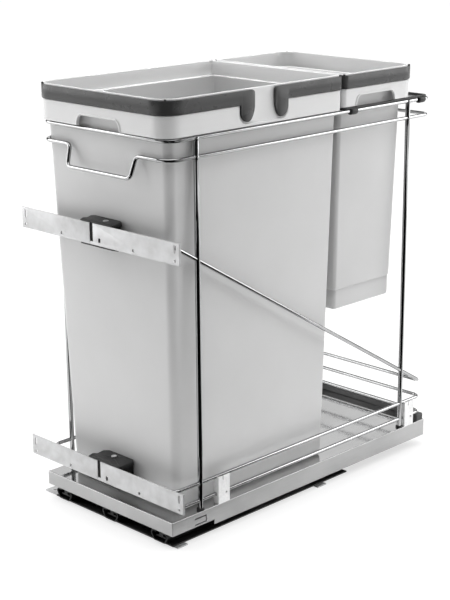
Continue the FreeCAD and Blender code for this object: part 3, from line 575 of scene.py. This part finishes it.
def half_band(name, node, end):
    """The front (-1) or rear (1) half of the large bin's dark band: it ends on each side in a tongue."""
    front, rear = LARGE_FRONT - BAND_OUT, LARGE_REAR + BAND_OUT
    dense = [("y", TAB_FRONT - TAB_WIDTH - 3, TAB_FRONT), ("y", TAB_REAR, TAB_REAR + TAB_WIDTH + 3)]
    dense += [("y", y - 0.01, y + 0.01) for y in (TAB_FRONT - TAB_WIDTH, TAB_REAR + TAB_WIDTH)]
    way = path(BAND_HALF, front, rear, grown(LARGE_CORNER, BAND_OUT), dense)
    bound = TAB_FRONT if end < 0 else TAB_REAR
    if end < 0:
        start = next(i for i, point in enumerate(way) if point[2] == -1)
        way = [point for point in way[start:] + way[:start] if point[1] <= bound]
    else:
        way = [point for point in way if point[1] >= bound]

    def profile(x, y):
        at_side = BAND_HALF - abs(x) < 1e-6
        reach = abs(bound - y) if at_side else FAR
        low, high = tongue(reach)
        return band_section(low, high, 0.5 * (1 - ease(reach, 0, 0.8)))
    bm = bmesh.new()
    sweep(bm, way, profile, closed=False)
    pegs(bm, front, rear, LARGE_CORNER, (end,))
    finished(name, bm, node)


def whole_band(name, node):
    """The small bin's dark band, which has no tongues."""
    front, rear = SMALL_FRONT - BAND_OUT, SMALL_REAR + BAND_OUT
    bm = bmesh.new()
    sweep(bm, path(BAND_HALF, front, rear, grown(SMALL_CORNER, BAND_OUT)),
          lambda x, y: band_section(BAND_LOW, BAND_TOP))
    pegs(bm, front, rear, SMALL_CORNER)
    finished(name, bm, node)


collar("large_collar", "large_bin", LARGE_FRONT, LARGE_REAR, LARGE_CORNER, 0.0, "x")
shell("large_body", "large_bin", LARGE_FOOT, LARGE_TOP, LARGE_BODY_CORNER, LARGE_BASE_ROUND)
collar("small_collar", "small_bin", SMALL_FRONT, SMALL_REAR, SMALL_CORNER, SMALL_LIFT, "y", SMALL_GRIP_Y)
shell("small_body", "small_bin", SMALL_FOOT, SMALL_TOP, SMALL_BODY_CORNER, SMALL_BASE_ROUND, [plinth])
half_band("front_band", "large_bag_ring_front", -1)
half_band("rear_band", "large_bag_ring_rear", 1)
whole_band("small_band", "small_bag_ring")


# ---------------------------------------------------------------- wire frame

WIRE, POST = 2.5, 3.4  # radii
RAIL_HALF, TOP_FRONT, TOP_REAR, TOP_Z = 116.8, -241.3, 249.1, 510.2
DIP_Z, DIP_LOW, DIP_OUT = 487.5, 461.0, -249.3
LOW_FRONT, LOW_REAR, LOW_Z, MID_FRONT, MID_Z = -236, 247.9, 51.5, -242, 74.9
SLANT_FRONT, SLANT_HIGH, SLANT_LOW = -238.5, 387.3, 98
FRONT_BEND, REAR_BEND, DIP_BEND = 19, 10, 7
POST_MIDDLE, POST_STAGGER, POST_REAR, BOSS_TOP = -204.5, 7.5, 202.5, 41.5


def loop(name, node, points, bends):
    line = wire_route(points, bends)
    bm = bmesh.new()
    tube(bm, line, [WIRE] * len(line))
    finished(name, bm, node)


def plain_loop(name, node, front, rear, front_z, rear_z, bend=REAR_BEND):
    """A four-cornered wire loop. bend is the radius of its front corners."""
    corners = [(-RAIL_HALF, front, front_z), (RAIL_HALF, front, front_z), (RAIL_HALF, rear, rear_z),
               (-RAIL_HALF, rear, rear_z)]
    loop(name, node, corners, [bend, bend, REAR_BEND, REAR_BEND])


def post(end, side, x, y):
    """An upright with a swelling where each of the two top wires meets it, and the boss it stands on."""
    heights = [BOSS_TOP, 120, 200, 280, 360, 440, TOP_Z, TOP_Z + 1, TOP_Z + 1.7, TOP_Z + 2]
    radii = [POST] * 7 + [3.1, 2.4, 1.2]
    bm = bmesh.new()
    tube(bm, [Vector((x, y, z)) for z in heights], radii, closed=False, sides=24)
    for z in (DIP_Z, TOP_Z):
        turned(bm, x, y, [(3.3, z - 3.2), (3.75, z - 2.4), (3.95, z - 1.2), (3.95, z + 0.4),
                          (3.7, z + 1.2), (3.3, z + 1.8)], 24)
    finished(f"post_{end}_{side}", bm, f"upright_{end}_{side}")
    bm = bmesh.new()
    turned(bm, x, y, [(5, BOSS_TOP - 3), (5, BOSS_TOP - 1.2), (4.7, BOSS_TOP - 0.5), (4.1, BOSS_TOP - 0.1),
                      (3.5, BOSS_TOP)])
    finished(f"boss_{end}_{side}", bm, f"upright_foot_{end}_{side}")


plain_loop("low_wire", "low_rail", LOW_FRONT, LOW_REAR, LOW_Z, LOW_Z)
plain_loop("mid_wire", "mid_rail", MID_FRONT, LOW_REAR, MID_Z, MID_Z)
plain_loop("slanted_wire", "slanted_rail", SLANT_FRONT, LOW_REAR, SLANT_HIGH, SLANT_LOW)
plain_loop("top_wire", "top_rail", TOP_FRONT, TOP_REAR, TOP_Z, TOP_Z, FRONT_BEND)
loop("dip_wire", "dip_rail",
     [(-RAIL_HALF, TOP_FRONT, DIP_Z), (-61, TOP_FRONT, DIP_Z), (-58, DIP_OUT, DIP_LOW),
      (58, DIP_OUT, DIP_LOW), (61, TOP_FRONT, DIP_Z), (RAIL_HALF, TOP_FRONT, DIP_Z),
      (RAIL_HALF, TOP_REAR, DIP_Z), (-RAIL_HALF, TOP_REAR, DIP_Z)],
     [FRONT_BEND] + [DIP_BEND] * 4 + [FRONT_BEND, REAR_BEND, REAR_BEND])
for side, sign in SIDES:
    post("front", side, sign * RAIL_HALF, POST_MIDDLE + sign * POST_STAGGER)
    post("rear", side, sign * RAIL_HALF, POST_REAR)


# ---------------------------------------------------------------- small bin's carrier

CARRIER_FRONT, CARRIER_REAR, CARRIER_CLIPS, CARRIER_CORNER = 63.0, 246.0, (79.4, 223.0), (10, 10)


def carrier():
    """A flat plastic hoop on the top rail, with four round clips that wrap the wire."""
    bm = bmesh.new()
    low, high, bar, facets = 512.8, 515.4, 5.0, 28
    section = [(0.5, low), (0.1, low + 0.2), (0, low + 0.6), (0, high - 0.8), (0.3, high - 0.2), (0.9, high),
               (bar - 0.9, high), (bar - 0.3, high - 0.2), (bar, high - 0.8), (bar, low + 0.6),
               (bar - 0.1, low + 0.2), (bar - 0.5, low)]
    sweep(bm, path(COLLAR_HALF, CARRIER_FRONT, CARRIER_REAR, CARRIER_CORNER), lambda x, y: section)
    # (distance along the wire, radius), from one end of a clip to the other
    barrel = [(0.0, 2.6), (0.0, 3.6), (0.3, 4.2), (1.0, 4.7), (2.2, 5.0), (11.8, 5.0), (13.0, 4.7),
              (13.7, 4.2), (14.0, 3.6), (14.0, 2.6)]
    for x in (-RAIL_HALF, RAIL_HALF):
        for y in CARRIER_CLIPS:
            strips(bm, [[(x + r * math.cos(a), y + along, TOP_Z + r * math.sin(a))
                         for a in (2 * math.pi * i / facets for i in range(facets))] for along, r in barrel],
                   round_rows=True)
    finished("carrier_hoop", bm, "small_bin_carrier")


carrier()


# ---------------------------------------------------------------- sheet metal and small parts

SHEET_EDGE, THIN_EDGE, PLASTIC_EDGE, SCREW_EDGE = 0.4, 0.3, 0.8, 0.2  # bevel widths

for height in ("upper", "lower"):
    for side, _ in SIDES:
        softened(f"{height}_door_plate_{side}", SHEET_EDGE)
for end in ("front", "rear"):
    softened(f"{end}_cross_bar", SHEET_EDGE)
    for side, _ in SIDES:
        # Painted light: the rail holders are coloured near white.
        softened(f"rail_holder_{end}_{side}", THIN_EDGE).data.materials[0] = PAINTED_LIGHT_STEEL
softened("base_plate", SHEET_EDGE)
softened("rear_edge_strip", PLASTIC_EDGE).data.materials[0] = STRIP_SKIN
for side, _ in SIDES:
    dress(frame["nodes"]["rear_corner_block_" + side], "band_plastic")
for height in ("upper", "lower"):
    softened(f"{height}_clip", PLASTIC_EDGE)
for height in ("upper", "lower"):
    softened(f"{height}_clip_screw", SCREW_EDGE, shortest=0.3)
for side, _ in THREE_SLIDES:
    for height in ("lower", "upper"):
        softened(f"{height}_ball_cage_{side}", SHEET_EDGE)


# ---------------------------------------------------------------- slides

PITCH, SLIDE_LOW, SLIDE_HIGH = 93.5, 4.0, 37.3  # spacing, and the outer backs of the two channels
OUTER_FRONT, OUTER_LENGTH, INNER_FRONT, INNER_LENGTH = -247, 335, -246, 480
GAUGE, CHANNEL_HALF, CHANNEL_DEPTH, LIP, RACE = 1.5, 15, 14, 4.5, 4.0  # RACE is the ball track's radius


def rolled(centre):
    """Outline of a strip of sheet bent along a line of (x, z) points."""
    left, right = [], []
    for index, (x, z) in enumerate(centre):
        before = centre[max(0, index - 1)]
        after = centre[min(len(centre) - 1, index + 1)]
        run, climb = after[0] - before[0], after[1] - before[1]
        reach = math.hypot(run, climb)
        nx, nz = -climb / reach * GAUGE / 2, run / reach * GAUGE / 2
        left.append((x + nx, z + nz))
        right.append((x - nx, z - nz))
    return left + right[::-1]


def channel():
    """Centre line of a slide channel from the middle of its back to the end of one lip."""
    half, depth = CHANNEL_HALF - GAUGE / 2, CHANNEL_DEPTH - GAUGE
    points = [(0.0, 0.0), (half - 2 * RACE, 0.0)]
    for i in range(1, 9):
        a = math.radians(-90 + 60 * i / 8)
        points.append((half - RACE * 1.4 + RACE * 0.6 * math.cos(a), RACE + RACE * math.sin(a)))
    for i in range(9):
        a = math.radians(-30 + 140 * i / 8)
        points.append((half - RACE + RACE * math.cos(a), depth - RACE + RACE * math.sin(a)))
    points.append((half - RACE - LIP, depth - 0.6))
    return points


def slide_piece(name, node, x, front, length, centre):
    """A rolled section drawn out along the slide, with painted shade on its sides and painted light on its
    cut ends.
    """
    outline = rolled([(-px, pz) for px, pz in centre[:0:-1]] + centre)
    count = len(outline)
    bm = bmesh.new()
    for row in strips(bm, [[(x + px, y, pz) for px, pz in outline] for y in (front, front + length)]):
        for i in range(count // 2 - 1):
            face = bm.faces.new([row[k] for k in (i, i + 1, count - 2 - i, count - 1 - i)])
            face.material_index = 1
    piece = finished(name, bm, node, angle=40)
    # Painted shade: the slides' sides are coloured near black.
    piece.data.materials[0] = PAINTED_SHADE_SLIDES
    # Painted light: the cut ends are coloured near white.
    piece.data.materials.append(PAINTED_LIGHT_STEEL)


low_channel = [(x, SLIDE_LOW + GAUGE / 2 + z) for x, z in channel()]
high_channel = [(x, SLIDE_HIGH - GAUGE / 2 - z) for x, z in channel()]
for side, sign in THREE_SLIDES:
    x = sign * PITCH
    slide_piece(f"outer_slide_{side}", f"outer_rail_{side}", x, OUTER_FRONT, OUTER_LENGTH, low_channel)
    slide_piece(f"inner_slide_{side}", f"inner_rail_{side}", x, INNER_FRONT, INNER_LENGTH, high_channel)
    # Painted shade: the middle rails are coloured near black.
    softened(f"middle_rail_{side}", THIN_EDGE).data.materials[0] = PAINTED_SHADE_SLIDES


# ---------------------------------------------------------------- stage

FLOOR_GLOW = 0.65  # how much of the floor that the camera sees is plain white
WORLD_DIM = 0.12  # light from the white world, which the camera sees at full strength


def softbox(name, place, size, power, target=(0, 0, 0.3), spread=180):
    """A rectangular area lamp in metres and watts that faces its target."""
    lamp = bpy.data.lights.new(name, "AREA")
    lamp.shape = "RECTANGLE"
    lamp.size, lamp.size_y = size
    lamp.energy = power
    lamp.spread = math.radians(spread)
    holder = bpy.data.objects.new(name, lamp)
    bpy.context.scene.collection.objects.link(holder)
    holder.location = place
    holder.rotation_euler = (Vector(target) - holder.location).to_track_quat("-Z", "Y").to_euler()


def dark_card(name, corners, only_gloss=False):
    """A black reflection card, unseen by the camera: it draws the dark lines along the chrome."""
    mesh = bpy.data.meshes.new(name)
    mesh.from_pydata(corners, [], [range(len(corners))])
    card = bpy.data.objects.new(name, mesh)
    bpy.context.scene.collection.objects.link(card)
    paint = Surface(name + "_black", Roughness=1.0, Specular_IOR_Level=0.0)
    paint.colour(paint.noise(4.0), linear(12), linear(18))
    mesh.materials.append(paint.material)
    card.visible_camera = False
    card.visible_shadow = False
    card.visible_diffuse = not only_gloss


def pale_floor():
    """A nearly white floor that glows a little to the camera, so that it fades into the background."""
    bpy.ops.mesh.primitive_plane_add(size=60)
    floor = bpy.context.object
    floor.name = "floor"
    ground = Surface("pale_floor", Specular_IOR_Level=0.1)
    ground.colour(ground.noise(0.8), linear(251), linear(253))
    ground.rough(ground.noise(3.0), 0.85, 0.95)
    glow = ground.nodes.new("ShaderNodeEmission")
    ray = ground.nodes.new("ShaderNodeLightPath")
    share = ground.nodes.new("ShaderNodeMath")
    share.operation = "MULTIPLY"
    share.inputs[1].default_value = FLOOR_GLOW
    both = ground.nodes.new("ShaderNodeMixShader")
    ground.links.new(ray.outputs["Is Camera Ray"], share.inputs[0])
    ground.links.new(share.outputs["Value"], both.inputs["Fac"])
    ground.links.new(ground.shader.outputs["BSDF"], both.inputs[1])
    ground.links.new(glow.outputs["Emission"], both.inputs[2])
    ground.links.new(both.outputs["Shader"], ground.nodes["Material Output"].inputs["Surface"])
    floor.data.materials.append(ground.material)


def white_world():
    """A white backdrop to the camera, and a dim one to everything else."""
    world = bpy.data.worlds.new("studio")
    bpy.context.scene.world = world
    world.use_nodes = True
    nodes, links = world.node_tree.nodes, world.node_tree.links
    dim = nodes["Background"]
    dim.inputs["Color"].default_value = (1, 1, 1, 1)
    dim.inputs["Strength"].default_value = WORLD_DIM
    backdrop = nodes.new("ShaderNodeBackground")
    backdrop.inputs["Color"].default_value = (1, 1, 1, 1)
    seen = nodes.new("ShaderNodeLightPath")
    mix = nodes.new("ShaderNodeMixShader")
    links.new(seen.outputs["Is Camera Ray"], mix.inputs["Fac"])
    links.new(dim.outputs["Background"], mix.inputs[1])
    links.new(backdrop.outputs["Background"], mix.inputs[2])
    links.new(mix.outputs["Shader"], nodes["World Output"].inputs["Surface"])


def lamps():
    sky = bpy.data.lights.new("overhead", "SUN")
    sky.energy = 3.1
    sky.angle = math.radians(76)
    bpy.context.scene.collection.objects.link(bpy.data.objects.new("overhead", sky))
    softbox("left_box", (-2.2, -1.4, 1.2), (1.6, 1.8), 38)
    softbox("right_box", (1.4, 2.2, 1.2), (1.6, 1.8), 38)
    softbox("bin_box", (0, -0.02, 1.6), (0.22, 0.44), 0.7, (0, -0.02, 0.3), 30)
    softbox("rear_box", (-1.8, 1.8, 0.9), (2.4, 1.6), 9)
    dark_card("front_card", [(0.28, -0.99, 0), (0.96, -0.33, 0), (0.96, -0.33, 0.84), (0.28, -0.99, 0.84)])
    low = [(0.17, -0.29), (0.22, 0.1), (1.5, 1.05), (2.2, -0.4), (1.5, -2.0), (-0.12, -2.2), (0.08, -0.33)]
    dark_card("low_card", [(x, y, 0.003) for x, y in low], only_gloss=True)


def camera():
    """Looks at the unit from its right front, 16 degrees above level."""
    azimuth, elevation, roll = math.radians(44.38), math.radians(16.08), math.radians(-0.24)
    lens = bpy.data.cameras.new("camera")
    lens.lens = 87.57
    lens.sensor_width = 36
    lens.shift_x = -0.0273
    lens.clip_end = 100
    eye = bpy.data.objects.new("camera", lens)
    bpy.context.scene.collection.objects.link(eye)
    eye.location = (1.33695, -1.369, 0.80023)
    turn = Euler((math.pi / 2 - elevation, 0, azimuth)).to_matrix() @ Matrix.Rotation(roll, 3, "Z")
    eye.rotation_euler = turn.to_euler()
    bpy.context.scene.camera = eye


pale_floor()
white_world()
lamps()
camera()
bpy.context.scene.view_settings.view_transform = "Standard"
